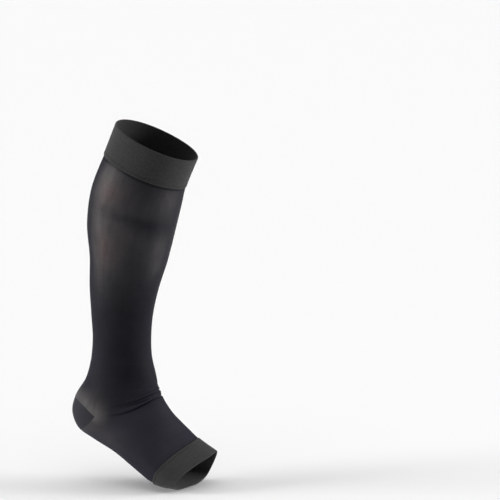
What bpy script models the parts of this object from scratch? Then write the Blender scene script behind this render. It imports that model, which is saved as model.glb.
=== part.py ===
"""Knee-high compression stocking with an open toe, for a right foot, in its worn shape.

The hollow cloth wall keeps the form of a walking leg: the shin leans forward and the heel is raised.
Its four pieces are the top band, the leg and foot knitted in one, the heel pocket and the toe band.

Lengths are in millimetres until the meshes are made. The profile is drawn with x forward from the
back of the heel and z up from the floor, y towards the inner side of the leg. The model's origin is
then moved to the middle of the top band, where the leg holds the stocking up.
"""

import math
from collections import namedtuple

import bmesh
import bpy
import numpy as np

MILLIMETRE = 0.001

# Driving dimensions: the cloth
LEG_WALL = 1.0
BAND_WALL = 2.0
SEAM_GAP = 0.3
HEM_HEIGHT = 4.5  # the stitched hem at the band's lower edge, below its groove
HEM_GROOVE = 0.45
TOE_HEM_HEIGHT = 3.0

# Driving dimensions: the shape of the foot
TOE_SLANT = 0.34  # how far a toe section runs back for each millimetre towards the little toe
TOE_ROUND = 10.0  # on the big toe's side the section turns across the foot over this width
CREST_SHIFT = 21.0  # the top of the forefoot lies this far towards the big toe
INNER_POWER = 2.1  # the roundness of the front half on the inner side
ARCH_RISE = 8.0  # the inner edge of the sole, at the middle of the arch

# How finely the walls are divided
AROUND = 48  # columns round a tube; column 0 is the front line and AROUND / 2 the back line
LEG_ROW = 11.5
FOOT_ROW = 7.5
FOLD_ROW = 2.3
HEEL_ROWS = 8

# One row for each section, from the top edge down to the toe opening. A section is a closed ring
# through a front and a back point of the profile. The widths are to the outer and inner side, widest
# is where the ring is widest, as a share of the way from back to front. The powers make a half flatter
# (below 2), round (2) or squarer (above 2). The front one is for the outer side.
Section = namedtuple(
    "Section",
    "name front_x front_z back_x back_z outer inner widest front_power back_power",
)
SECTIONS = (
    Section("top_edge", 160.4, 401.7, 66.2, 446.0, 52.5, 52.5, 0.50, 2.1, 2.1),
    Section("band_hem", 145.4, 366.3, 50.5, 408.0, 53, 54, 0.50, 2.1, 2.1),
    Section("calf_upper", 140.0, 344.0, 33.7, 367.5, 54, 56, 0.48, 2.0, 2.1),
    Section("calf_full", 131.7, 311.9, 26.9, 323.8, 53, 57, 0.46, 2.0, 2.1),
    Section("calf_low", 121.4, 272.9, 29.3, 279.9, 47, 52, 0.46, 2.0, 2.1),
    Section("shin_middle", 109.9, 237.0, 28.0, 240.0, 40, 43, 0.47, 2.0, 2.1),
    Section("shin_low", 103.3, 206.0, 29.1, 206.0, 34, 35, 0.48, 2.0, 2.1),
    Section("ankle_narrow", 101.0, 174.0, 30.1, 172.0, 31, 31, 0.48, 2.0, 2.1),
    Section("ankle", 102.1, 152.0, 26.9, 145.9, 31, 32, 0.48, 2.0, 2.1),
    Section("ankle_bend", 106.8, 132.0, 20.4, 123.9, 33, 34, 0.47, 2.0, 2.2),
    Section("heel_top", 111.0, 114.7, 7.0, 101.7, 34, 35, 0.42, 2.0, 2.3),
    Section("heel_round", 117.1, 101.9, 2.8, 82.3, 34, 35, 0.38, 2.0, 2.4),
    Section("heel_base", 122.9, 91.7, 11.2, 63.1, 34, 35, 0.36, 2.0, 2.5),
    Section("sole_back", 128.7, 81.7, 32.1, 51.0, 34, 34.5, 0.36, 2.0, 2.6),
    Section("instep", 135.2, 71.6, 63.7, 36.8, 36, 34.5, 0.36, 1.9, 2.7),
    Section("arch", 141.7, 61.6, 97.4, 17.9, 40, 35.5, 0.36, 1.8, 2.8),
    Section("toe_seam", 152.7, 49.6, 130.7, 1.4, 44, 38, 0.36, 1.6, 3.2),
    Section("toe_edge", 176.9, 34.0, 159.3, -2.2, 43, 38, 0.34, 1.4, 3.4),
)

# The creases where the foot bends up against the shin, one row each. A crease crosses the front
# line at a height of the profile, drops towards the sole as it runs round, and dies out at a share
# of half the way round, on each side.
Fold = namedtuple("Fold", "front_z drop depth half_width outer_end inner_end")
FOLDS = (
    Fold(104.2, 16.5, 1.9, 2.3, 0.46, 0.31),
    Fold(109.4, 7.5, 1.1, 1.9, 0.38, 0.42),
    Fold(112.4, 7.5, 0.9, 1.8, 0.35, 0.27),
    Fold(119.5, 6.0, 0.6, 2.6, 0.30, 0.36),
)
RIDGE = 0.5  # the cloth above a crease stands out by this share of the crease's depth

# The heel pocket, in degrees round the ring from the front line by the inner side. The pocket has
# turned a little on the heel, so that its outer corner lies further back than its inner one.
POCKET_INNER_CORNER = 60.0
POCKET_OUTER_CORNER = 262.5
POCKET_CORNER = ("heel_round", 0.38)  # past that section, as a share of the way to the next
POCKET_RISE = 22.5  # above the corners at the back line, along the middle of the leg
POCKET_FALL = 13.6  # below them
POCKET_CURVE = 4.0  # 1 gives a straight-sided lens, 2 a round one and more a blunt one
POCKET_TIP = 0.15  # the corners of the piece are cut off this share of a column in
ROWS_BEND_OVER = 75.0  # the rows above and below the pocket follow its edge over this length

COLOURS = {
    "top_band": (0.030, 0.031, 0.030),
    "leg_and_foot": (0.014, 0.014, 0.017),
    "heel_pocket": (0.017, 0.017, 0.019),
    "toe_band": (0.030, 0.031, 0.030),
}
ROUGHNESS = {"top_band": 0.85, "leg_and_foot": 0.55, "heel_pocket": 0.65, "toe_band": 0.85}


def stations():
    """How far along the middle of the leg each section lies."""
    middles = [((s.front_x + s.back_x) / 2, (s.front_z + s.back_z) / 2) for s in SECTIONS]
    steps = [math.dist(a, b) for a, b in zip(middles, middles[1:])]
    return np.concatenate([[0.0], np.cumsum(steps)])


STATIONS = stations()
NAMES = [section.name for section in SECTIONS]
END = float(STATIONS[-1])


def station(name, share=0.0):
    """The length along the leg at a section, or at a share of the way to the next one."""
    index = NAMES.index(name)
    step = STATIONS[index + 1] - STATIONS[index] if share else 0.0
    return float(STATIONS[index] + share * step)


def smooth(along, column):
    """A column of SECTIONS read at any length, on a smooth curve through its values."""
    values = np.array([getattr(section, column) for section in SECTIONS], float)
    slopes = np.gradient(values, STATIONS)
    at = np.clip(np.searchsorted(STATIONS, along) - 1, 0, len(SECTIONS) - 2)
    step = STATIONS[at + 1] - STATIONS[at]
    u = (along - STATIONS[at]) / step
    start = values[at] * (1 + 2 * u) + slopes[at] * step * u
    end = values[at + 1] * (3 - 2 * u) - slopes[at + 1] * step * (1 - u)
    return start * (1 - u) ** 2 + end * u**2


def ramp(value, low, high):
    """0 below low, 1 above high, and an even S between them."""
    share = np.clip((value - low) / (high - low), 0.0, 1.0)
    return share * share * (3 - 2 * share)


def inner_form(along, angle):
    """The cloth's inner face: a point for each length along the leg and angle round it."""
    cosine = np.cos(angle)
    sine = np.sin(angle)
    front = cosine > 0
    front_power = np.where(sine < 0, smooth(along, "front_power"), INNER_POWER)
    power = np.where(front, front_power, smooth(along, "back_power"))
    reach = (np.abs(cosine) ** power + np.abs(sine) ** power) ** (-1 / power)
    widest = smooth(along, "widest")
    share = widest + reach * cosine * np.where(front, 1 - widest, widest)

    in_foot = ramp(along, station("heel_round"), station("toe_seam"))
    crest = np.where(front, CREST_SHIFT * in_foot, 0.0)
    inner, outer = smooth(along, "inner"), smooth(along, "outer")
    y = crest + reach * sine * np.where(sine > 0, inner - crest, outer + crest)

    front_x, front_z = smooth(along, "front_x"), smooth(along, "front_z")
    back_x, back_z = smooth(along, "back_x"), smooth(along, "back_z")
    slanted = np.minimum(y, 0) + TOE_ROUND * (1 - np.exp(-np.maximum(y, 0) / TOE_ROUND))
    arch = ramp(along, station("heel_base"), station("arch")) * (
        1 - ramp(along, station("arch"), station("toe_edge"))
    )
    on_sole = ramp(1 - share / widest, 0, 1) * ramp(y / inner, 0, 1)
    x = back_x + share * (front_x - back_x) + TOE_SLANT * in_foot * slanted
    z = back_z + share * (front_z - back_z) + ARCH_RISE * arch * on_sole
    return np.stack([x, y, z], axis=-1)


def outward(along, angle):
    """The direction straight out of the cloth at each point."""
    small = 0.01
    down = inner_form(np.clip(along + 1, 0, END), angle) - inner_form(
        np.clip(along - 1, 0, END), angle
    )
    round_it = inner_form(along, angle + small) - inner_form(along, angle - small)
    normal = np.cross(down, round_it)
    return normal / np.linalg.norm(normal, axis=-1, keepdims=True)


def along_at_front(height):
    """The length along the leg at which the front line passes a height of the profile."""
    lengths = np.linspace(0, END, 2000)
    heights = smooth(lengths, "front_z")
    return float(np.interp(-height, -heights, lengths))


def crease_depth(along, angle):
    """How far the creases at the bend of the ankle press the cloth in."""
    turn = np.arctan2(np.sin(angle), np.cos(angle)) / math.pi  # 0 at the front, 1 inner, -1 outer
    depth = np.zeros(np.broadcast(along, angle).shape)
    for fold in FOLDS:
        end = np.where(turn > 0, fold.inner_end, fold.outer_end)
        fade = 1 - ramp(np.abs(turn), 0.6 * end, end)
        centre = along_at_front(fold.front_z) + fold.drop * ramp(np.abs(turn), 0.05, 0.5)
        away = (along - centre) / fold.half_width
        profile = np.exp(-(away**2)) - RIDGE * np.exp(-(((away + 1.9) / 1.3) ** 2))
        depth += fold.depth * fade * profile
    return depth


def cloth(along, angle, shaping=None):
    """Points of a piece's inner face, with its own shaping pressed in, in model metres."""
    along, angle = np.broadcast_arrays(np.asarray(along, float), np.asarray(angle, float))
    points = inner_form(along, angle)
    if shaping is not None:
        points = points - shaping(along, angle)[..., None] * outward(along, angle)
    return (points - ORIGIN) * MILLIMETRE


def band_middle():
    """The middle of the top band: the place where the leg holds the stocking."""
    angles = np.linspace(0, 2 * math.pi, AROUND, endpoint=False)
    middle = station("band_hem") / 2
    return inner_form(np.full(AROUND, middle), angles).mean(axis=0)


ORIGIN = band_middle()


def stretch(along, angle):
    """How far a point of the cloth moves for each millimetre along the middle of the leg."""
    step = inner_form(along + 0.5, angle) - inner_form(along - 0.5, angle)
    return np.linalg.norm(step, axis=-1)


def spread(start, end, step):
    """Lengths from start to end, both included, about a step apart."""
    return np.linspace(start, end, max(2, round((end - start) / step) + 1))


def angles_round():
    return np.arange(AROUND) * (2 * math.pi / AROUND)


def add_rows(mesh, grid):
    """Adds a vertex for each point of a grid and returns them row by row."""
    return [[mesh.verts.new(point) for point in row] for row in grid]


def skin(mesh, upper, lower, closed=True):
    """Faces between two rows of vertices, leaving out those that have no width."""
    count = len(upper)
    for i in range(count if closed else count - 1):
        j = (i + 1) % count
        corners = [upper[i], lower[i], lower[j], upper[j]]
        unlike = [v for k, v in enumerate(corners) if v is not corners[k - 1]]
        if len(unlike) > 2:
            mesh.faces.new(unlike)


def finish_piece(name, mesh, wall):
    """Makes the object from its inner face, gives it a wall outwards and its material."""
    data = bpy.data.meshes.new(name)
    mesh.to_mesh(data)
    mesh.free()
    piece = bpy.data.objects.new(name, data)
    bpy.context.scene.collection.objects.link(piece)

    thicken = piece.modifiers.new("wall", "SOLIDIFY")
    thicken.thickness = wall * MILLIMETRE
    thicken.offset = 1.0
    thicken.use_even_offset = True
    thicken.use_quality_normals = True

    material = bpy.data.materials.new(name)
    material.use_nodes = True
    shader = material.node_tree.nodes["Principled BSDF"]
    shader.inputs["Base Color"].default_value = (*COLOURS[name], 1.0)
    shader.inputs["Roughness"].default_value = ROUGHNESS[name]
    shader.inputs["Metallic"].default_value = 0.0
    data.materials.append(material)
    data.shade_smooth()
    data.set_sharp_from_angle(angle=math.radians(50))
    return piece


def tube(name, lengths, wall, shaping=None):
    """A piece that goes all the way round, through rings at these lengths."""
    grid = cloth(lengths, angles_round()[None, :], shaping)
    mesh = bmesh.new()
    rows = add_rows(mesh, grid)
    for upper, lower in zip(rows, rows[1:]):
        skin(mesh, upper, lower)
    return finish_piece(name, mesh, wall)


def seam_side(seam, side):
    """The ring half a seam's gap before (-1) or after (1) the seam at a section."""
    middle = np.full(AROUND, station(seam))
    return middle + side * 0.5 * SEAM_GAP / stretch(middle, angles_round())


def hem_rings(seam, side, height):
    """Rings that shape a hem: its edge, its groove and the cloth on each side of the groove."""
    shares = np.array([0.0, 0.45, 0.8, 1.0, 1.2, 1.6])[:, None]
    return seam_side(seam, side)[None, :] + side * height * shares


def hem_groove(seam, height):
    """Shaping that presses a stitch groove in at a height from a seam."""

    def shaping(along, angle):
        away = (np.abs(along - station(seam)) - height) / (0.22 * height)
        return HEM_GROOVE * np.exp(-(away**2))

    return shaping


def plain_rings(start, end, step):
    """Rings at even lengths from start to end."""
    return np.repeat(spread(start, end, step)[:, None], AROUND, axis=1)


def top_band():
    hem = hem_rings("band_hem", -1, HEM_HEIGHT)[::-1]
    lengths = np.concatenate([plain_rings(0, hem.min() - 4, 8), hem])
    return tube("top_band", lengths, BAND_WALL, hem_groove("band_hem", HEM_HEIGHT))


def toe_band():
    hem = hem_rings("toe_seam", 1, TOE_HEM_HEIGHT)
    lengths = np.concatenate([hem, plain_rings(hem.max() + 4, END, 6)])
    return tube("toe_band", lengths, BAND_WALL, hem_groove("toe_seam", TOE_HEM_HEIGHT))


def pocket_height(angle):
    """The pocket's height at an angle as a share of its height at the middle, 0 outside it."""
    low, high = math.radians(POCKET_INNER_CORNER), math.radians(POCKET_OUTER_CORNER)
    across = np.clip((angle - low) / (high - low), 0, 1)
    return 1 - np.abs(2 * across - 1) ** POCKET_CURVE


def pocket_edge(angle, below):
    """The length along the leg of the pocket's upper or lower edge."""
    height = pocket_height(angle)
    return station(*POCKET_CORNER) + (POCKET_FALL * height if below else -POCKET_RISE * height)


def bent_rows(rings, below):
    """Rows of the leg or the foot, bent so that the one next to the pocket follows its edge."""
    corner = station(*POCKET_CORNER)
    angles = angles_round()
    near = np.clip(1 - np.abs(rings - corner) / ROWS_BEND_OVER, 0, 1)
    shift = pocket_edge(angles, below) - corner
    return cloth(rings + near * shift[None, :], angles[None, :], crease_depth)


def leg_and_foot():
    corner = station(*POCKET_CORNER)
    above_creases = along_at_front(FOLDS[-1].front_z) - 3 * FOLD_ROW
    below_creases = corner + 4 * FOLD_ROW
    leg = np.concatenate(
        [
            seam_side("band_hem", 1)[None, :],
            plain_rings(station("band_hem") + LEG_ROW, above_creases, LEG_ROW)[:-1],
            plain_rings(above_creases, corner, FOLD_ROW),
        ]
    )
    foot = np.concatenate(
        [
            plain_rings(corner, below_creases, FOLD_ROW)[:-1],
            plain_rings(below_creases, station("toe_seam") - FOOT_ROW, FOOT_ROW),
            seam_side("toe_seam", -1)[None, :],
        ]
    )
    mesh = bmesh.new()
    leg_rows = add_rows(mesh, bent_rows(leg, below=False))
    foot_grid = bent_rows(foot, below=True)
    outside = pocket_height(angles_round()) < 1e-6
    first = [
        shared if is_outside else mesh.verts.new(point)
        for shared, is_outside, point in zip(leg_rows[-1], outside, foot_grid[0])
    ]
    foot_rows = [first, *add_rows(mesh, foot_grid[1:])]
    for rows in (leg_rows, foot_rows):
        for upper, lower in zip(rows, rows[1:]):
            skin(mesh, upper, lower)
    return finish_piece("leg_and_foot", mesh, LEG_WALL)


def seam_inset(edge, angles):
    """How far to draw back from the pocket's edge so that the gap is the seam's, whatever its slope."""
    points = inner_form(edge, angles)
    run = np.gradient(points, axis=0)
    down = inner_form(edge + 0.5, angles) - inner_form(edge - 0.5, angles)
    across = np.cross(run, down)
    sine = np.linalg.norm(across, axis=-1) / np.linalg.norm(run, axis=-1)
    return SEAM_GAP / sine


def heel_pocket():
    """The patch that fills the hole in the leg and foot, a seam's gap inside its edges."""
    step = 2 * math.pi / AROUND
    low, high = math.radians(POCKET_INNER_CORNER), math.radians(POCKET_OUTER_CORNER)
    inside = np.arange(low + step, high - step / 2, step)
    columns = np.concatenate([[low], inside, [high]])
    angles = np.concatenate([[low + POCKET_TIP * step], inside, [high - POCKET_TIP * step]])
    # The hole's edge runs straight between its columns, so the tips of the piece are read from it.
    top, bottom = (np.interp(angles, columns, pocket_edge(columns, below)) for below in (False, True))
    down = np.linspace(0, 1, HEEL_ROWS)[:, None]
    upper = top + seam_inset(top, angles)
    lower = bottom - seam_inset(bottom, angles)
    mesh = bmesh.new()
    rows = add_rows(mesh, cloth(upper * (1 - down) + lower * down, angles[None, :]))
    for upper_row, lower_row in zip(rows, rows[1:]):
        skin(mesh, upper_row, lower_row, closed=False)
    return finish_piece("heel_pocket", mesh, LEG_WALL)


def clear_scene():
    for old in list(bpy.data.objects):
        bpy.data.objects.remove(old)


def main():
    clear_scene()
    top_band()
    leg_and_foot()
    heel_pocket()
    toe_band()


main()
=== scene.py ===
"""Looks of the knee-high compression stocking: its cloth, its sewing, the studio and the camera.

Each piece is made on the surface of its solid, with a finer grid, folded edges, creases and
stitches. Lengths are in millimetres until the meshes are made: x forward from the heel, y towards
the inner side of the leg and z up from the toe. The frame's origin is the middle of the top band.
"""

import math
from collections import namedtuple

import bpy
import numpy as np
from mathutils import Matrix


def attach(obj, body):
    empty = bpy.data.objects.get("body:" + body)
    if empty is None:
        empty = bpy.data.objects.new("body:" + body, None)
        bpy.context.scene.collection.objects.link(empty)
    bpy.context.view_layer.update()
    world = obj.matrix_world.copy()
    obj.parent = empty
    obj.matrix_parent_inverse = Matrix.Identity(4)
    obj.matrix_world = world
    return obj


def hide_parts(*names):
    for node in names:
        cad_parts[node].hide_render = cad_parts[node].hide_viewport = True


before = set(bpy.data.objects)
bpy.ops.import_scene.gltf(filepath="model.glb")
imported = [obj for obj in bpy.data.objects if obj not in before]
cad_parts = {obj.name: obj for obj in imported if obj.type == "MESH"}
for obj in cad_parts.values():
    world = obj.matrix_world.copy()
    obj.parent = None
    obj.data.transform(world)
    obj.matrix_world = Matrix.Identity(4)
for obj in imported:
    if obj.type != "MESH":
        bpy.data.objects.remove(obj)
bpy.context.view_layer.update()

MILLIMETRE = 0.001
FULL_TURN = 2 * math.pi

# The cloth
LEG_WALL = 1.0
BAND_WALL = 2.0
SEAM_GAP = 0.15  # from a seam's line to the lapped edge of its band
LAP = 2.2  # for this length in from that edge a band stands clear of the cloth under it
TUCK = 1.8  # how far that cloth runs on under the band, past the seam's line

# The foot
TOE_SLANT = 0.34  # how far a toe section runs back for each millimetre towards the little toe
TOE_ROUND = 10.0  # on the big toe's side it turns square across the foot over this width
CREST_SHIFT = 21.0  # the top of the forefoot lies this far towards the big toe
INNER_POWER = 2.1  # how square the front half is on the inner side, all down the leg
ARCH_RISE = 8.0  # lifts the sole at the middle of the arch, most towards its inner side

# The heel pocket. Angles are in degrees round the leg, from the front line by the inner side.
POCKET_INNER_CORNER = 60.0
POCKET_OUTER_CORNER = 262.5
POCKET_CORNER = ("heel_round", 0.38)  # past that section, as a share of the way to the next
POCKET_RISE = 22.5  # how far the pocket reaches above its corners, halfway between them
POCKET_FALL = 13.6  # and how far below them
POCKET_CURVE = 4.0  # 1 gives a straight-sided lens, 2 a round one and more a blunt one
POCKET_TIP = 0.15  # the piece's pointed ends are cut off at this share of a column
ROWS_BEND_OVER = 75.0  # the rows above and below the pocket follow its edge over this length

# How finely the cloth is divided: into columns all the way round, and rows of these lengths
LEG_COLUMNS = 192
BAND_COLUMNS = 432
LEG_ROW = 4.0
FOOT_ROW = 2.6
CREASE_ROW = 0.5
CREASE_ROWS_FROM = 306.0  # they start at this length along the leg
CREASE_ROWS_PAST = 12.0  # and end this far past the pocket's corners
BAND_ROW = 1.2
POCKET_LINES = 28  # lines of points, from the pocket's upper edge to its lower one
MIDDLE_POINTS = 48  # round the top band, to find its middle
SHARP_EDGE = 60.0  # an edge that turns by more degrees than this isn't shaded smooth

# One row for each section, from the top edge down to the toe opening: its front and back points,
# its widths to the outer and inner side, where it is widest and how square its two halves are.
Section = namedtuple(
    "Section",
    "name front_x front_z back_x back_z outer inner widest front_power back_power",
)
SECTIONS = (
    Section("top_edge", 160.4, 401.7, 66.2, 446.0, 52.5, 52.5, 0.50, 2.1, 2.1),
    Section("band_hem", 145.4, 366.3, 50.5, 408.0, 53, 54, 0.50, 2.1, 2.1),
    Section("calf_upper", 140.0, 344.0, 33.7, 367.5, 54, 56, 0.48, 2.0, 2.1),
    Section("calf_full", 131.7, 311.9, 26.9, 323.8, 53, 57, 0.46, 2.0, 2.1),
    Section("calf_low", 121.4, 272.9, 29.3, 279.9, 47, 52, 0.46, 2.0, 2.1),
    Section("shin_middle", 109.9, 237.0, 28.0, 240.0, 40, 43, 0.47, 2.0, 2.1),
    Section("shin_low", 103.3, 206.0, 29.1, 206.0, 34, 35, 0.48, 2.0, 2.1),
    Section("ankle_narrow", 101.0, 174.0, 30.1, 172.0, 31, 31, 0.48, 2.0, 2.1),
    Section("ankle", 102.1, 152.0, 26.9, 145.9, 31, 32, 0.48, 2.0, 2.1),
    Section("ankle_bend", 106.8, 132.0, 20.4, 123.9, 33, 34, 0.47, 2.0, 2.2),
    Section("heel_top", 111.0, 114.7, 7.0, 101.7, 34, 35, 0.42, 2.0, 2.3),
    Section("heel_round", 117.1, 101.9, 2.8, 82.3, 34, 35, 0.38, 2.0, 2.4),
    Section("heel_base", 122.9, 91.7, 11.2, 63.1, 34, 35, 0.36, 2.0, 2.5),
    Section("sole_back", 128.7, 81.7, 32.1, 51.0, 34, 34.5, 0.36, 2.0, 2.6),
    Section("instep", 135.2, 71.6, 63.7, 36.8, 36, 34.5, 0.36, 1.9, 2.7),
    Section("arch", 141.7, 61.6, 97.4, 17.9, 40, 35.5, 0.36, 1.8, 2.8),
    Section("toe_seam", 152.7, 49.6, 130.7, 1.4, 44, 38, 0.36, 1.6, 3.2),
    Section("toe_edge", 176.9, 34.0, 159.3, -2.2, 43, 38, 0.34, 1.4, 3.4),
)

# The creases. Each crosses one line down the leg, given in degrees, at a length along it. It runs
# on both ways, leaning by millimetres a degree and dropping towards its ends, and dies out at its
# reach in degrees.
Crease = namedtuple("Crease", "line along lean drop depth half_width reach_back reach_on")
CREASES = (
    Crease(0, 334.1, 0, 13.5, 2.8, 1.5, 90, 56),
    Crease(0, 331.1, 0, 8.5, 1.5, 1.1, 72, 76),
    Crease(0, 326.5, 0, 10.0, 1.65, 1.2, 84, 49),
    Crease(0, 317.1, 0, 5.0, 0.6, 2.6, 54, 65),
    Crease(316, 98.5, 0.145, 0, 0.40, 6.5, 62, 60),
    Crease(125, 308.0, -0.03, 4.0, 0.45, 2.0, 45, 38),
    Crease(140, 300.5, 0.05, 3.0, 0.35, 1.8, 38, 30),
    Crease(70, 339.5, 0.06, 3.0, 0.40, 2.2, 26, 30),
    Crease(115, 103.0, -0.10, 0, 0.40, 6.0, 55, 60),
)
CREASE_FULL = 0.6  # a crease keeps its depth over this share of its reach
DROP_FROM = 15  # in degrees from its line, where it starts to drop
DROP_TO = 75  # and where it has dropped all the way
RIDGE = 0.5  # the cloth above a crease stands out by this share of the crease's depth
RIDGE_ABOVE = 1.9  # how far above it that is, and how wide, in half widths of the crease
RIDGE_WIDE = 1.3
TAUT_FRONT = 0.72  # a crease is shallower by this share on the front line, where the cloth is taut
TAUT_HALF = 21.0  # and less so over this many degrees to each side


def stations():
    """How far along the middle of the leg each section lies."""
    middles = [((s.front_x + s.back_x) / 2, (s.front_z + s.back_z) / 2) for s in SECTIONS]
    steps = [math.dist(a, b) for a, b in zip(middles, middles[1:])]
    return np.concatenate([[0.0], np.cumsum(steps)])


STATIONS = stations()
NAMES = [section.name for section in SECTIONS]
END = float(STATIONS[-1])


def station(name, share=0.0):
    """The length along the leg at a section, or at a share of the way to the next one."""
    index = NAMES.index(name)
    step = STATIONS[index + 1] - STATIONS[index] if share else 0.0
    return float(STATIONS[index] + share * step)


POCKET_CORNERS_AT = station(*POCKET_CORNER)
POCKET_CORNER_ANGLES = tuple(math.radians(c) for c in (POCKET_INNER_CORNER, POCKET_OUTER_CORNER))


def smooth(along, column):
    """A column of SECTIONS read at any length, on a smooth curve through its values."""
    values = np.array([getattr(section, column) for section in SECTIONS], float)
    slopes = np.gradient(values, STATIONS)
    at = np.clip(np.searchsorted(STATIONS, along) - 1, 0, len(SECTIONS) - 2)
    step = STATIONS[at + 1] - STATIONS[at]
    u = (along - STATIONS[at]) / step
    start = values[at] * (1 + 2 * u) + slopes[at] * step * u
    end = values[at + 1] * (3 - 2 * u) - slopes[at + 1] * step * (1 - u)
    return start * (1 - u) ** 2 + end * u**2


def ramp(value, low, high):
    """0 below low, 1 above high, and an even S between them."""
    share = np.clip((value - low) / (high - low), 0.0, 1.0)
    return share * share * (3 - 2 * share)


def inner_form(along, angle):
    """The cloth's inner face: a point for each length along the leg and angle round it."""
    cosine = np.cos(angle)
    sine = np.sin(angle)
    front = cosine > 0
    front_power = np.where(sine < 0, smooth(along, "front_power"), INNER_POWER)
    power = np.where(front, front_power, smooth(along, "back_power"))
    reach = (np.abs(cosine) ** power + np.abs(sine) ** power) ** (-1 / power)
    widest = smooth(along, "widest")
    share = widest + reach * cosine * np.where(front, 1 - widest, widest)

    in_foot = ramp(along, station("heel_round"), station("toe_seam"))
    crest = np.where(front, CREST_SHIFT * in_foot, 0.0)
    inner, outer = smooth(along, "inner"), smooth(along, "outer")
    y = crest + reach * sine * np.where(sine > 0, inner - crest, outer + crest)

    front_x, front_z = smooth(along, "front_x"), smooth(along, "front_z")
    back_x, back_z = smooth(along, "back_x"), smooth(along, "back_z")
    slanted = np.minimum(y, 0) + TOE_ROUND * (1 - np.exp(-np.maximum(y, 0) / TOE_ROUND))
    arch = ramp(along, station("heel_base"), station("arch")) * (
        1 - ramp(along, station("arch"), station("toe_edge"))
    )
    on_sole = ramp(1 - share / widest, 0, 1) * ramp(y / inner, 0, 1)
    x = back_x + share * (front_x - back_x) + TOE_SLANT * in_foot * slanted
    z = back_z + share * (front_z - back_z) + ARCH_RISE * arch * on_sole
    return np.stack([x, y, z], axis=-1)


# The steps over which the cloth's slope is read, in millimetres along and in radians round
SLOPE_STEP = 1.0
SLOPE_TURN = 0.01


def outward(along, angle):
    """The direction straight out of the cloth at each point."""
    before, after = (np.clip(along + step, 0, END) for step in (-SLOPE_STEP, SLOPE_STEP))
    down = inner_form(after, angle) - inner_form(before, angle)
    round_it = inner_form(along, angle + SLOPE_TURN) - inner_form(along, angle - SLOPE_TURN)
    normal = np.cross(down, round_it)
    return normal / np.linalg.norm(normal, axis=-1, keepdims=True)


def degrees_past(line, angle):
    """How far past a line down the leg each angle is, from -180 to 180 degrees."""
    return (np.degrees(angle) - line + 180) % 360 - 180


def crease_depth(along, angle):
    """How far the creases press the cloth in."""
    depth = np.zeros(np.broadcast(along, angle).shape)
    taut = 1 - TAUT_FRONT * np.exp(-((degrees_past(0, angle) / TAUT_HALF) ** 2))
    for crease in CREASES:
        turn = degrees_past(crease.line, angle)
        reach = np.where(turn > 0, crease.reach_on, crease.reach_back)
        fade = 1 - ramp(np.abs(turn), CREASE_FULL * reach, reach)
        drop = crease.drop * ramp(np.abs(turn), DROP_FROM, DROP_TO)
        away = (along - crease.along - crease.lean * turn - drop) / crease.half_width
        ridge = RIDGE * np.exp(-(((away + RIDGE_ABOVE) / RIDGE_WIDE) ** 2))
        profile = np.exp(-(away**2)) - ridge
        depth += crease.depth * fade * profile
    return depth * taut


def columns_round(count):
    """The angles of a number of columns, all the way round."""
    return np.arange(count) * (FULL_TURN / count)


def band_middle():
    """The middle of the top band, which is the frame's origin."""
    middle = station("band_hem") / 2
    return inner_form(np.full(MIDDLE_POINTS, middle), columns_round(MIDDLE_POINTS)).mean(axis=0)


ORIGIN = band_middle()


def on_cloth(along, angle, out):
    """Points at a height out of the cloth's inner face, in the frame's metres."""
    along, angle, out = np.broadcast_arrays(*(np.asarray(v, float) for v in (along, angle, out)))
    lift = out - crease_depth(along, angle)
    points = inner_form(along, angle) + lift[..., None] * outward(along, angle)
    return (points - ORIGIN) * MILLIMETRE


def spread(start, end, step):
    """Lengths from start to end, both included, about a step apart."""
    return np.linspace(start, end, max(2, round((end - start) / step) + 1))


# Meshes


def quads_between(ids, closed):
    """The four corners of each face of a grid of point numbers."""
    beside = np.roll(ids, -1, axis=1) if closed else ids[:, 1:]
    here = ids if closed else ids[:, :-1]
    quads = np.stack([here[:-1], here[1:], beside[1:], beside[:-1]], axis=-1)
    return quads.reshape(-1, 4)


def rim_quads(quads, count):
    """Faces that join an outer sheet's open edges to the inner sheet, which is count further on."""
    starts = quads.reshape(-1)
    ends = np.roll(quads, -1, axis=1).reshape(-1)
    total = 2 * count
    open_edge = ~np.isin(starts * total + ends, ends * total + starts)
    a, b = starts[open_edge], ends[open_edge]
    return np.stack([b, a, a + count, b + count], axis=-1)


def knit_map(data, along, angle):
    """Gives each corner its place in the knit: turns round the leg, and metres along it."""
    corners = np.empty(len(data.loops), int)
    data.loops.foreach_get("vertex_index", corners)
    first = np.empty(len(data.polygons), int)
    data.polygons.foreach_get("loop_start", first)
    face_of = np.repeat(np.arange(len(first)), np.diff(np.append(first, len(corners))))
    turns = (angle / FULL_TURN)[corners]
    across_seam = turns < np.maximum.reduceat(turns, first)[face_of] - 0.5
    place = np.stack([turns + across_seam, along[corners] * MILLIMETRE], axis=-1)
    data.uv_layers.new(name="knit").uv.foreach_set("vector", place.ravel())


def make_piece(name, points, faces, along, angle, finish):
    """A piece of the stocking from its points and faces, in its finish."""
    data = bpy.data.meshes.new(name)
    data.from_pydata(points.tolist(), [], faces.tolist())
    knit_map(data, along, angle)
    data.materials.append(finish)
    data.shade_smooth()
    data.set_sharp_from_angle(angle=math.radians(SHARP_EDGE))
    piece = bpy.data.objects.new(name, data)
    bpy.context.scene.collection.objects.link(piece)
    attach(piece, "root")
    return piece


def walled_piece(name, quads, along, angle, finish):
    """A sheet of single cloth with its outer face, its inner face and the rims between them."""
    count = len(along)
    points = np.concatenate([on_cloth(along, angle, LEG_WALL), on_cloth(along, angle, 0.0)])
    faces = np.concatenate([quads, quads[:, ::-1] + count, rim_quads(quads, count)])
    return make_piece(name, points, faces, np.tile(along, 2), np.tile(angle, 2), finish)


# The leg, the foot and the heel pocket

NO_HEIGHT = 1e-6  # a column with less of the pocket's height than this is outside it


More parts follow.
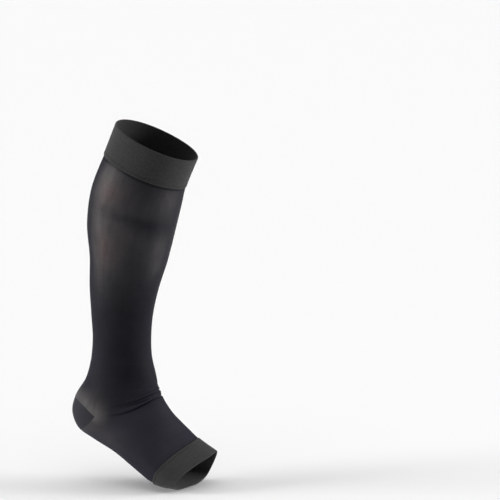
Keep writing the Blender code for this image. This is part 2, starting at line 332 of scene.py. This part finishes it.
def pocket_height(angle):
    """The pocket's height at an angle as a share of its height at the middle, 0 outside it."""
    low, high = POCKET_CORNER_ANGLES
    across = np.clip((angle - low) / (high - low), 0, 1)
    return 1 - np.abs(2 * across - 1) ** POCKET_CURVE


def pocket_edge(angle, below):
    """The length along the leg of the pocket's upper or lower edge."""
    height = pocket_height(angle)
    return POCKET_CORNERS_AT + (POCKET_FALL * height if below else -POCKET_RISE * height)


def bent_rows(lengths, angles, below):
    """Rows of the leg or the foot, bent so that the one next to the pocket follows its edge."""
    near = np.clip(1 - np.abs(lengths - POCKET_CORNERS_AT) / ROWS_BEND_OVER, 0, 1)
    bend = pocket_edge(angles, below) - POCKET_CORNERS_AT
    return lengths[:, None] + near[:, None] * bend[None, :]


def leg_and_foot_cloth(finish):
    """The leg and the foot, knitted as one tube, with an opening for the heel pocket."""
    crease_rows_to = POCKET_CORNERS_AT + CREASE_ROWS_PAST
    angles = columns_round(LEG_COLUMNS)
    leg = np.concatenate(
        [
            spread(station("band_hem") - TUCK, CREASE_ROWS_FROM, LEG_ROW)[:-1],
            spread(CREASE_ROWS_FROM, POCKET_CORNERS_AT, CREASE_ROW),
        ]
    )
    foot = np.concatenate(
        [
            spread(POCKET_CORNERS_AT, crease_rows_to, CREASE_ROW)[:-1],
            spread(crease_rows_to, station("toe_seam") + TUCK, FOOT_ROW),
        ]
    )
    leg_ids = np.arange(len(leg) * LEG_COLUMNS).reshape(len(leg), LEG_COLUMNS)
    foot_ids = np.arange(len(foot) * LEG_COLUMNS).reshape(len(foot), LEG_COLUMNS) + leg_ids.size
    outside = pocket_height(angles) < NO_HEIGHT
    foot_ids[0, outside] = leg_ids[-1, outside]
    quads = np.concatenate([quads_between(ids, closed=True) for ids in (leg_ids, foot_ids)])
    leg_rows = bent_rows(leg, angles, below=False)
    foot_rows = bent_rows(foot, angles, below=True)
    grid = np.concatenate([leg_rows, foot_rows])
    used, quads = np.unique(quads, return_inverse=True)
    along = grid.ravel()[used]
    angle = np.tile(angles, len(grid))[used]
    name = "leg_and_foot_cloth"
    piece = walled_piece(name, quads.reshape(-1, 4), along, angle, finish)
    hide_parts("leg_and_foot")
    return piece


def heel_pocket_cloth(finish):
    """The denser heel patch, knitted into the opening."""
    step = FULL_TURN / LEG_COLUMNS
    low, high = POCKET_CORNER_ANGLES
    inside = np.arange(low + step, high - step / 2, step)
    columns = np.concatenate([[low], inside, [high]])
    angles = np.concatenate([[low + POCKET_TIP * step], inside, [high - POCKET_TIP * step]])
    top = np.interp(angles, columns, pocket_edge(columns, below=False))
    bottom = np.interp(angles, columns, pocket_edge(columns, below=True))
    down = np.linspace(0, 1, POCKET_LINES)[:, None]
    along = top * (1 - down) + bottom * down
    ids = np.arange(along.size).reshape(along.shape)
    quads = quads_between(ids, closed=False)
    angle = np.tile(angles, POCKET_LINES)
    name = "heel_pocket_cloth"
    piece = walled_piece(name, quads, along.ravel(), angle, finish)
    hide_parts("heel_pocket")
    return piece


# The bands

# A band lies above (-1) or below (1) its seam with the leg or the foot. Its hem's groove runs at a
# height from its lapped edge, and holds so many stitches.
Band = namedtuple("Band", "seam side hem_height stitches")
TOP_BAND = Band("band_hem", -1, 4.5, 108)
TOE_BAND = Band("toe_seam", 1, 3.0, 74)
GROOVE_DEPTH = 0.42
GROOVE_HALF = 0.75  # half the groove's width
PUCKER = 0.12  # each stitch pulls the cloth in by this much, and between two it swells as much
PUCKER_HALF = 1.6 * GROOVE_HALF  # and about this far to each side of the groove
LAP_ROUND = 0.42  # the radius of the lapped edge
LAP_BEND = 0.4  # behind the lap the cloth turns in over this length
EDGE_POINTS = 9  # round the folded edge, and round the lapped one

# How far the even rows keep off the edges, on the outer face and on the inner one
OUTER_OFF_LAP = 0.3
OUTER_OFF_FOLD = 0.4
INNER_OFF_LAP = 1.2
INNER_OFF_FOLD = 0.5

# Finer rows follow the groove, so many of its half widths each way. The even ones keep further off.
GROOVE_LINES = 17
GROOVE_LINES_REACH = 2
EVEN_ROWS_REACH = 2.2


def band_profile(length, hem_height):
    """Round the cut through a band: how far each point is from its lapped edge, and how far out."""
    fold_round = BAND_WALL / 2
    half_turn = np.radians(np.linspace(-90, 90, EDGE_POINTS))
    fold_away = length - fold_round * (1 - np.cos(half_turn))
    fold_out = fold_round * (1 + np.sin(half_turn))

    face_away = spread(LAP_ROUND + OUTER_OFF_LAP, length - fold_round - OUTER_OFF_FOLD, BAND_ROW)
    groove_lines = np.linspace(-GROOVE_LINES_REACH, GROOVE_LINES_REACH, GROOVE_LINES)
    groove_away = hem_height + groove_lines * GROOVE_HALF
    clear_of_groove = np.abs(face_away - hem_height) > EVEN_ROWS_REACH * GROOVE_HALF
    face_away = np.sort(np.concatenate([face_away[clear_of_groove], groove_away]))[::-1]
    groove = np.exp(-(((face_away - hem_height) / GROOVE_HALF) ** 2))
    face_out = BAND_WALL - GROOVE_DEPTH * groove

    lap_away = LAP_ROUND * (1 - np.cos(half_turn))
    lap_out = BAND_WALL - LAP_ROUND - LAP_ROUND * np.sin(half_turn)
    under_away = np.array([LAP / 2, LAP, LAP + LAP_BEND])
    under_out = np.array([BAND_WALL - 2 * LAP_ROUND, BAND_WALL - 2 * LAP_ROUND, 0.0])
    inner_away = spread(LAP + INNER_OFF_LAP, length - fold_round - INNER_OFF_FOLD, BAND_ROW)
    away = np.concatenate([fold_away, face_away, lap_away, under_away, inner_away])
    out = np.concatenate([fold_out, face_out, lap_out, under_out, np.zeros(len(inner_away))])
    return away, out


def band_cloth(name, band, finish):
    """A band of double cloth, folded at its free edge and lapped over the leg or the foot."""
    lapped_edge = station(band.seam) + band.side * SEAM_GAP
    length = abs((END if band.side > 0 else 0.0) - lapped_edge)
    away, out = band_profile(length, band.hem_height)
    angles = columns_round(BAND_COLUMNS)
    on_outer_face = out > BAND_WALL / 2
    pulled = np.exp(-(((away - band.hem_height) / PUCKER_HALF) ** 2)) * on_outer_face
    pucker = PUCKER * pulled[:, None] * np.cos(band.stitches * angles)[None, :]
    along = np.repeat((lapped_edge + band.side * away)[:, None], BAND_COLUMNS, axis=1)
    angle = np.tile(angles, (len(away), 1))
    points = on_cloth(along, angle, out[:, None] - pucker)
    ids = np.arange(along.size).reshape(along.shape)
    if band.side > 0:
        ids = ids[::-1]
    quads = quads_between(np.concatenate([ids, ids[:1]]), closed=True)
    return make_piece(
        name, points.reshape(-1, 3), quads, along.ravel(), angle.ravel(), finish
    )


# The sewing


def swept(along, angle, out, half_width, half_height, sides, closed):
    """The points of a thread along a line on the cloth, as rings of so many sides."""
    line = on_cloth(along, angle, out)
    if closed:
        run = np.roll(line, -1, axis=0) - np.roll(line, 1, axis=0)
    else:
        run = np.gradient(line, axis=0)
    run /= np.linalg.norm(run, axis=-1, keepdims=True)
    up = outward(along, angle)
    across = np.cross(run, up)
    across /= np.linalg.norm(across, axis=-1, keepdims=True)
    up = np.cross(across, run)
    round_it = columns_round(sides)
    wide = (half_width * MILLIMETRE)[:, None, None] * np.cos(round_it)[None, :, None]
    high = (half_height * MILLIMETRE)[:, None, None] * np.sin(round_it)[None, :, None]
    return line[:, None, :] + wide * across[:, None, :] + high * up[:, None, :]


def ring_quads(rings, sides, start, closed):
    """Faces round the rings of one thread, whose points begin at a number."""
    ids = start + np.arange(rings * sides).reshape(rings, sides)
    if closed:
        ids = np.concatenate([ids, ids[:1]])
    return quads_between(ids, closed=True)


# The stitches in the bands' hems
THREAD_HALF = 0.24  # half the thread's thickness
THREAD_END = 0.02  # the thread's cut where it goes into the cloth, as a share of the full one
STITCH_RINGS = 7
STITCH_SIDES = 6
STITCH_SHARE = 0.84  # a stitch's length, as a share of the step from one to the next
STITCH_LEAN = 0.35  # its two ends lie this far above and below its row
STITCH_SUNK = 0.1  # they are this deep under the groove's floor
STITCH_RISE = 0.28  # and its middle is this much higher


def hem_stitches(name, band, finish):
    """A row of stitches in a band's groove, all the way round."""
    middle = station(band.seam) + band.side * (SEAM_GAP + band.hem_height)
    bow = np.linspace(0, 1, STITCH_RINGS)
    rise = np.sin(math.pi * bow)
    thick = THREAD_HALF * np.sqrt(np.clip(rise, THREAD_END, 1))
    points, faces, lengths, turns = [], [], [], []
    for stitch in range(band.stitches):
        angle = (stitch + STITCH_SHARE * (bow - 0.5)) * FULL_TURN / band.stitches
        along = middle + STITCH_LEAN * (bow - 0.5) * 2
        out = BAND_WALL - GROOVE_DEPTH - STITCH_SUNK + STITCH_RISE * rise
        rings = swept(along, angle, out, thick, thick, STITCH_SIDES, closed=False)
        start = stitch * STITCH_RINGS * STITCH_SIDES
        faces.append(ring_quads(STITCH_RINGS, STITCH_SIDES, start, closed=False))
        points.append(rings.reshape(-1, 3))
        lengths.append(np.repeat(along, STITCH_SIDES))
        turns.append(np.repeat(angle % FULL_TURN, STITCH_SIDES))
    return make_piece(
        name,
        np.concatenate(points),
        np.concatenate(faces),
        np.concatenate(lengths),
        np.concatenate(turns),
        finish,
    )


# The join round the heel pocket
GORE_STEP = 0.45  # from one ring of points to the next
GORE_SIDES = 8
GORE_HALF_WIDTH = 0.50
GORE_HALF_HEIGHT = 0.34
GORE_SUNK = 0.18  # its middle line lies this deep in the cloth
GORE_LOOP = 1.5  # one knitted loop of the join, along it
GORE_NECK = 0.75  # a loop's thickness at its ends, as a share of that at its middle


def heel_gore_line(finish):
    """The line of loops where the heel pocket is knitted on to the leg and the foot."""
    step = FULL_TURN / LEG_COLUMNS
    low, high = POCKET_CORNER_ANGLES
    columns = np.arange(low, high + step / 2, step)
    upper, lower = (pocket_edge(columns, below) for below in (False, True))
    angle = np.concatenate([columns, columns[-2:0:-1]])
    along = np.concatenate([upper, lower[-2:0:-1]])
    angle, along = np.append(angle, angle[0]), np.append(along, along[0])
    points = on_cloth(along, angle, LEG_WALL)
    run = np.concatenate([[0], np.cumsum(np.linalg.norm(np.diff(points, axis=0), axis=-1))])
    count = int(run[-1] / (GORE_STEP * MILLIMETRE))
    at = np.linspace(0, run[-1], count, endpoint=False)
    angle, along = np.interp(at, run, angle), np.interp(at, run, along)
    loops = round(run[-1] / (GORE_LOOP * MILLIMETRE))
    swell = GORE_NECK + (1 - GORE_NECK) * np.abs(np.sin(math.pi * loops * at / run[-1]))
    half_width, half_height = GORE_HALF_WIDTH * swell, GORE_HALF_HEIGHT * swell
    out = np.full(count, LEG_WALL - GORE_SUNK)
    rings = swept(along, angle, out, half_width, half_height, GORE_SIDES, closed=True)
    return make_piece(
        "heel_gore_line",
        rings.reshape(-1, 3),
        ring_quads(count, GORE_SIDES, 0, closed=True),
        np.repeat(along, GORE_SIDES),
        np.repeat(angle, GORE_SIDES),
        finish,
    )


# Finishes


class Value:
    """A socket of a finish, used in sums: each operator adds the Math node that it stands for."""

    def __init__(self, finish, socket):
        self.finish = finish
        self.socket = socket

    def maths(self, operation, *values):
        """A Math node on some values."""
        inputs = dict(enumerate(values))
        return self.finish.node("ShaderNodeMath", {"operation": operation}, inputs)["Value"]

    def __neg__(self):
        return self.maths("MULTIPLY", self, -1.0)

    def __add__(self, other):
        return self.maths("ADD", self, other)

    def __radd__(self, other):
        return self.maths("ADD", other, self)

    def __sub__(self, other):
        return self.maths("SUBTRACT", self, other)

    def __rsub__(self, other):
        return self.maths("SUBTRACT", other, self)

    def __mul__(self, other):
        return self.maths("MULTIPLY", self, other)

    def __rmul__(self, other):
        return self.maths("MULTIPLY", other, self)

    def __truediv__(self, other):
        return self.maths("DIVIDE", self, other)

    def __rtruediv__(self, other):
        return self.maths("DIVIDE", other, self)

    def __pow__(self, other):
        return self.maths("POWER", self, other)

    def __rpow__(self, other):
        return self.maths("POWER", other, self)

    def cosine(self):
        return self.maths("COSINE", self)

    def exponent(self):
        return self.maths("EXPONENT", self)

    def fraction(self):
        return self.maths("FRACT", self)

    def size(self):
        return self.maths("ABSOLUTE", self)

    def clamped(self):
        return self.maths("MINIMUM", self.maths("MAXIMUM", self, 0.0), 1.0)


class Finish:
    """A material and its nodes."""

    def __init__(self, name):
        self.material = bpy.data.materials.new(name)
        self.material.use_nodes = True
        self.tree = self.material.node_tree
        self.tree.nodes.clear()

    def node(self, kind, settings, inputs):
        """Adds a node, with its settings first and then its sockets, and gives its outputs."""
        made = self.tree.nodes.new(kind)
        for name, value in settings.items():
            setattr(made, name, value)
        shown = {socket.name: socket for socket in made.inputs if socket.enabled}
        for name, value in inputs.items():
            socket = made.inputs[name] if isinstance(name, int) else shown[name]
            if isinstance(value, Value):
                self.tree.links.new(value.socket, socket)
            else:
                socket.default_value = value
        return {o.name: Value(self, o) for o in made.outputs if o.enabled}

    def mix(self, first, second, share):
        """A colour that share of the way from the first to the second."""
        inputs = {"Factor": share, "A": first, "B": second}
        return self.node("ShaderNodeMix", {"data_type": "RGBA"}, inputs)["Result"]

    def knit_place(self):
        """Turns round the leg and metres along it, from the knit map."""
        place = self.node("ShaderNodeUVMap", {"uv_map": "knit"}, {})["UV"]
        parts = self.node("ShaderNodeSeparateXYZ", {}, {"Vector": place})
        return parts["X"], parts["Y"]

    def streaks(self, around, down, kind):
        """Uneven streaks of a kind in the knit, from 0 to 1."""
        parts = {"X": around * kind.a_turn, "Y": down * kind.a_metre, "Z": 0.0}
        inputs = {
            "Vector": self.node("ShaderNodeCombineXYZ", {}, parts)["Vector"],
            "Scale": 1.0,
            "Detail": kind.detail,
            "Roughness": STREAK_ROUGHNESS,
        }
        return self.node("ShaderNodeTexNoise", {"noise_dimensions": "3D"}, inputs)["Fac"]

    def bumped(self, height, distance):
        """The normal of a surface whose relief is a height times a distance in metres."""
        inputs = {"Height": height, "Distance": distance, "Strength": 1.0}
        return self.node("ShaderNodeBump", {}, inputs)["Normal"]

    def cloth(self, base, roughness, normal, knit):
        """The material of a cloth, with the gloss and sheen of its yarn."""
        inputs = {
            "Base Color": base,
            "Roughness": roughness,
            "Normal": normal,
            "Specular IOR Level": knit.gloss,
            "Sheen Weight": knit.sheen,
            "Sheen Roughness": knit.sheen_roughness,
            "Sheen Tint": knit.sheen_tint,
        }
        shader = self.node("ShaderNodeBsdfPrincipled", {}, inputs)["BSDF"]
        self.node("ShaderNodeOutputMaterial", {"target": "ALL"}, {"Surface": shader})
        return self.material


# The knits: the colours of the cloth packed close and slack, the wales round it, the length of a
# course and the depth of the relief in metres, how much uneven yarn and fine grain it shows, and
# the gloss and sheen of its yarn.
Knit = namedtuple(
    "Knit",
    "dense slack wales course relief uneven grain "
    "roughness gloss sheen sheen_roughness sheen_tint",
)
LEG_KNIT = Knit(
    dense=(0.0072, 0.0069, 0.0078, 1),
    slack=(0.040, 0.0385, 0.050, 1),
    wales=400,
    course=0.00055,
    relief=0.00005,
    uneven=0.09,
    grain=0.04,
    roughness=0.50,
    gloss=0.015,
    sheen=0.022,
    sheen_roughness=0.7,
    sheen_tint=(0.50, 0.55, 1.0, 1),
)
HEEL_KNIT = LEG_KNIT._replace(
    dense=(0.022, 0.0212, 0.0245, 1),
    slack=(0.046, 0.044, 0.050, 1),
    relief=0.00007,
)
BAND_KNIT = Knit(
    dense=(0.0235, 0.0233, 0.0233, 1),
    slack=(0.046, 0.0455, 0.0455, 1),
    wales=264,
    course=0.00075,
    relief=0.00012,
    uneven=0.20,
    grain=1.10,
    roughness=0.8,
    gloss=0.05,
    sheen=0.12,
    sheen_roughness=0.4,
    sheen_tint=(1.0, 1.0, 1.0, 1),
)
TOE_KNIT = BAND_KNIT._replace(dense=(0.036, 0.0355, 0.0355, 1), slack=(0.060, 0.0592, 0.059, 1))
THREAD = BAND_KNIT._replace(dense=(0.034, 0.034, 0.034, 1), relief=0.00003)

# The relief of a knit
WALE_RISE = 0.75
LOOP_RISE = 0.25
LOOP_SLANT = 0.5  # from a wale's middle to its side a loop slants by this share of a course
RELIEF_BASE = 0.1

# The streaks of a knit: how many there are a turn round it and a metre along it, and how fine they
# are. Each kind is 0.5 on average.
Streaks = namedtuple("Streaks", "a_turn a_metre detail")
WALE_STREAKS = Streaks(160.0, 8.0, 2.0)
COURSE_BARS = Streaks(6.0, 420.0, 2.0)
CLOUDS = Streaks(9.0, 40.0, 3.0)
GRAIN = Streaks(130.0, 400.0, 2.0)
RAGS = Streaks(26.0, 30.0, 4.0)
STREAK_ROUGHNESS = 0.55
STREAK_MIDDLE = 0.5

# How they turn a knit's colour, as shares of the way from dense to slack, and its roughness
CLOUD_SHARE = 2.0  # clouds count this many times as much as wale streaks or course bars
UNEVEN_MIDDLE = (1 + 1 + CLOUD_SHARE) * STREAK_MIDDLE
RELIEF_PAINTED_SHADE = 0.12  # what stands out is this much lighter, painted shade in the knit's hollows
UNSTRETCHED_LIGHT = 0.12  # and so is all of a cloth that isn't stretched
ROUGHNESS_SPREAD = 0.16

# How they break up the thin places, whose strength they leave as it is on average
RAG_SHARE = 1.1
WALE_SHARE = 0.3
COURSE_SHARE = 0.2
EVEN_SHARE = 0.2

# The leg's colours where its knit is stretched thin, which also stands for painted highlight,
# and where the thin knit is at its warmest
THIN_KNIT_AND_HIGHLIGHT_COLOUR = (0.079, 0.0745, 0.0725, 1)
BARE_COLOUR = (0.092, 0.0705, 0.0685, 1)

# Spots where the leg's knit is thin and light, which is partly its own stretched knit and partly
# painted highlight where the side lights fall, where its thin colour turns warmer, and where it is
# slack and a little lighter; below 0 the strength works the other way, and the thin spots below 0
# are painted shade. A spot spreads from a line down the leg, in degrees, at a length along it, over
# so many degrees and millimetres.
Spot = namedtuple("Spot", "line along wide tall strength")
THIN_KNIT_AND_PAINTED_LIGHT_SPOTS = (
    Spot(242, 58, 14, 30, 0.63),
    Spot(246, 131, 13, 56, 0.43),
    Spot(270, 115, 28, 72, 0.29),
    Spot(335, 62, 13, 28, 0.36),
    Spot(336, 142, 10, 30, 0.42),
    Spot(310, 102, 50, 62, 0.12),
    # Below 0: painted shade down the calf's outer back, and along the soft crease across the calf
    Spot(222, 128, 9, 50, -0.18),
    Spot(248, 87, 12, 8, -0.16),
    Spot(280, 94, 13, 5, -0.12),
    Spot(303, 99, 16, 9, -0.13),
    Spot(320, 105, 16, 13, -0.10),
    Spot(252, 324, 14, 14, 0.22),
    Spot(266, 335, 9, 10, 0.33),
    Spot(263, 361, 9, 6, 0.10),
    Spot(259, 368, 13, 14, 0.18),
    Spot(250, 384, 16, 20, 0.23),
    Spot(114, 60, 14, 30, 0.54),
    Spot(112, 130, 13, 58, 0.42),
    Spot(90, 112, 28, 72, 0.29),
    Spot(28, 104, 12, 50, 0.30),
    Spot(180, 122, 16, 58, 0.20),
    # Below 0: painted shade along the soft crease across the inner side of the calf
    Spot(116, 104, 14, 7, -0.14),
    Spot(84, 97, 16, 6, -0.14),
    Spot(98, 326, 15, 14, 0.26),
    Spot(98, 368, 14, 15, 0.16),
    Spot(106, 384, 17, 20, 0.22),
)
BARE_SPOTS = (
    Spot(256, 68, 14, 14, 0.9),
    Spot(258, 136, 14, 26, 0.9),
    Spot(106, 66, 14, 15, 0.8),
    Spot(102, 130, 14, 28, 0.8),
)
SLACK_SPOTS = (
    Spot(258, 372, 30, 16, 0.30),
    Spot(290, 404, 80, 48, 0.30),
    Spot(328, 355, 22, 20, 0.22),
    Spot(300, 353, 22, 11, 0.12),
    Spot(318, 329, 26, 18, 0.09),
    Spot(305, 447, 52, 22, 0.20),
    Spot(90, 400, 70, 48, 0.30),
    Spot(35, 355, 24, 20, 0.20),
    Spot(60, 447, 50, 22, 0.18),
    Spot(253, 382, 17, 22, -0.22),
    Spot(104, 382, 18, 22, -0.20),
    Spot(225, 290, 30, 60, 0.12),
    Spot(345, 290, 24, 60, 0.08),
)
JOIN_PAINTED_SHADE = 0.35  # how much painted shade lies on the leg just under the top band's lapped edge
JOIN_TALL = 2.5  # and for how far from there

# The thin strips along the heel pocket's upper and lower edges
Strip = namedtuple("Strip", "strength wide")
UPPER_STRIP = Strip(0.71, 9.8)
LOWER_STRIP = Strip(0.40, 9.0)
STRIP_OFF = 2.0  # from the pocket's edge to a strip's middle
STRIP_END = 12.0  # past the pocket's corners they die out over so many degrees


def spot_share(around, down, spots):
    """The sum of some spots at a place in the knit."""
    length = down / MILLIMETRE
    total = 0.0
    for spot in spots:
        turn = (around * FULL_TURN - math.radians(spot.line)).cosine() - 1.0
        away_round = turn / math.radians(spot.wide) ** 2
        away = (length - spot.along) / spot.tall
        total = (away_round - away * away).exponent() * spot.strength + total
    return total


def heel_strips(around, down):
    """How thin the knit is beside the heel pocket, from 0 to 1."""
    middle = (POCKET_INNER_CORNER + POCKET_OUTER_CORNER) / 2
    half = (POCKET_OUTER_CORNER - POCKET_INNER_CORNER) / 2
    side = ((around * 360 - middle) / half).size()
    past = (side - side.clamped()) * (half / STRIP_END)
    height = 1.0 - side.clamped() ** POCKET_CURVE
    off = down / MILLIMETRE - POCKET_CORNERS_AT
    above = (-off - height * POCKET_RISE - STRIP_OFF) / UPPER_STRIP.wide
    below = (off - height * POCKET_FALL - STRIP_OFF) / LOWER_STRIP.wide
    upper = (-(above * above) - past * past).exponent() * UPPER_STRIP.strength
    lower = (-(below * below) - past * past).exponent() * LOWER_STRIP.strength
    return upper + lower


def band_edge_painted_shade(down):
    """The painted shade on the leg just under the top band's lapped edge, from 0 to 1."""
    away = (down / MILLIMETRE - station("band_hem")) / JOIN_TALL
    return (-(away * away)).exponent() * JOIN_PAINTED_SHADE


def knit_relief(around, down, knit):
    """The height of the knit: rounded wales side by side, with their loops' slanting legs."""
    across = ((around * knit.wales).fraction() * 2.0 - 1.0).size()
    loop = ((down / knit.course + across * LOOP_SLANT) * FULL_TURN).cosine()
    return (1.0 - across * across) * WALE_RISE + loop * LOOP_RISE + RELIEF_BASE


def knit_finish(name, knit, stretched=False):
    """A knitted cloth: fine wales and courses with painted shade in their hollows, uneven yarn, and
    the places where it is thin, which are partly painted highlight and shade.
    """
    finish = Finish(name)
    around, down = finish.knit_place()
    relief = knit_relief(around, down, knit)
    wales = finish.streaks(around, down, WALE_STREAKS)
    courses = finish.streaks(around, down, COURSE_BARS)
    clouds = finish.streaks(around, down, CLOUDS)
    grain = finish.streaks(around, down, GRAIN)
    uneven = (wales + courses + clouds * CLOUD_SHARE - UNEVEN_MIDDLE) * knit.uneven
    # the knit's own uneven tone and grain, with painted shade in the hollows of its relief
    light = uneven + relief * RELIEF_PAINTED_SHADE + (grain - STREAK_MIDDLE) * knit.grain
    if stretched:
        light = light + spot_share(around, down, SLACK_SPOTS)
        # the thin places: partly thin knit and partly painted highlight, less the painted shade
        # under the top band
        thin_and_painted_light = spot_share(around, down, THIN_KNIT_AND_PAINTED_LIGHT_SPOTS) + heel_strips(around, down) - band_edge_painted_shade(down)
        rags = finish.streaks(around, down, RAGS)
        broken = rags * RAG_SHARE + wales * WALE_SHARE + courses * COURSE_SHARE + EVEN_SHARE
        bare = spot_share(around, down, BARE_SPOTS)
        thin_and_highlight_colour = finish.mix(THIN_KNIT_AND_HIGHLIGHT_COLOUR, BARE_COLOUR, bare.clamped())
        other_colour = finish.mix(knit.dense, knit.slack, light.clamped())
        base = finish.mix(other_colour, thin_and_highlight_colour, (thin_and_painted_light * broken).clamped())
    else:
        base = finish.mix(knit.dense, knit.slack, (light + UNSTRETCHED_LIGHT).clamped())
    roughness = (clouds - STREAK_MIDDLE) * ROUGHNESS_SPREAD + knit.roughness
    normal = finish.bumped(relief, knit.relief)
    return finish.cloth(base, roughness, normal, knit)


# The studio and the camera, in metres and degrees, with the lens in millimetres
CAMERA_PLACE = (0.98471, -2.72420, 0.36688)
CAMERA_TURN = (80.5, 0.0, 17.5)
CAMERA_LENS = 172.8
FLOOR_LEVEL = -0.4112
FLOOR_SIZE = 60.0
FLOOR_COLOUR = (0.95, 0.95, 0.95, 1)
FLOOR_ROUGHNESS = 0.9
WORLD_STRENGTH = 0.15

# Soft lights: the way round that each comes from, counted from +x towards +y, how high it stands,
# its strength and how wide it is, all but the strength in degrees.
SoftLight = namedtuple("SoftLight", "name turn height strength softness")
SOFT_LIGHTS = (
    SoftLight("top_light", 0, 90, 1.5, 100),
    SoftLight("left_light", 202, 8, 4.5, 30),
    SoftLight("right_light", 22, 8, 3.9, 30),
)


def camera():
    """A long lens on the outer side, looking a little down."""
    made = bpy.data.objects.new("camera", bpy.data.cameras.new("camera"))
    made.location = CAMERA_PLACE
    made.rotation_euler = [math.radians(turn) for turn in CAMERA_TURN]
    made.data.lens = CAMERA_LENS
    bpy.context.scene.collection.objects.link(made)
    bpy.context.scene.camera = made


def floor():
    """The plain pale floor."""
    half = FLOOR_SIZE / 2
    outline = ((-half, -half), (half, -half), (half, half), (-half, half))
    data = bpy.data.meshes.new("floor")
    data.from_pydata([(x, y, FLOOR_LEVEL) for x, y in outline], [], [(0, 1, 2, 3)])
    finish = Finish("floor_paint")
    inputs = {"Base Color": FLOOR_COLOUR, "Roughness": FLOOR_ROUGHNESS}
    shader = finish.node("ShaderNodeBsdfPrincipled", {}, inputs)["BSDF"]
    finish.node("ShaderNodeOutputMaterial", {"target": "ALL"}, {"Surface": shader})
    data.materials.append(finish.material)
    made = bpy.data.objects.new("floor", data)
    bpy.context.scene.collection.objects.link(made)


def lights():
    """Wide soft suns from above and from both sides, in a dim white world."""
    scene = bpy.context.scene
    scene.world = bpy.data.worlds.new("studio")
    scene.world.use_nodes = True
    background = scene.world.node_tree.nodes["Background"]
    background.inputs["Color"].default_value = (1, 1, 1, 1)
    background.inputs["Strength"].default_value = WORLD_STRENGTH
    for soft in SOFT_LIGHTS:
        data = bpy.data.lights.new(soft.name, "SUN")
        data.energy = soft.strength
        data.angle = math.radians(soft.softness)
        made = bpy.data.objects.new(soft.name, data)
        made.rotation_euler = [math.radians(turn) for turn in (90 - soft.height, 0, soft.turn + 90)]
        scene.collection.objects.link(made)
    scene.view_settings.view_transform = "Standard"


def stocking():
    """The whole stocking: its cloth and its sewing."""
    leg_finish = knit_finish("leg_knit_cloth", LEG_KNIT, stretched=True)
    heel_finish = knit_finish("heel_knit_cloth", HEEL_KNIT)
    band_finish = knit_finish("band_knit_cloth", BAND_KNIT)
    toe_finish = knit_finish("toe_band_cloth", TOE_KNIT)
    thread_finish = knit_finish("sewing_thread", THREAD)
    leg = leg_and_foot_cloth(leg_finish)
    pocket = heel_pocket_cloth(heel_finish)
    gore = heel_gore_line(heel_finish)
    band = band_cloth("top_band_cloth", TOP_BAND, band_finish)
    toe = band_cloth("toe_band_cloth", TOE_BAND, toe_finish)
    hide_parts("top_band")
    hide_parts("toe_band")
    band_stitches = hem_stitches("top_band_stitches", TOP_BAND, thread_finish)
    toe_stitches = hem_stitches("toe_band_stitches", TOE_BAND, thread_finish)


stocking()
floor()
lights()
camera()
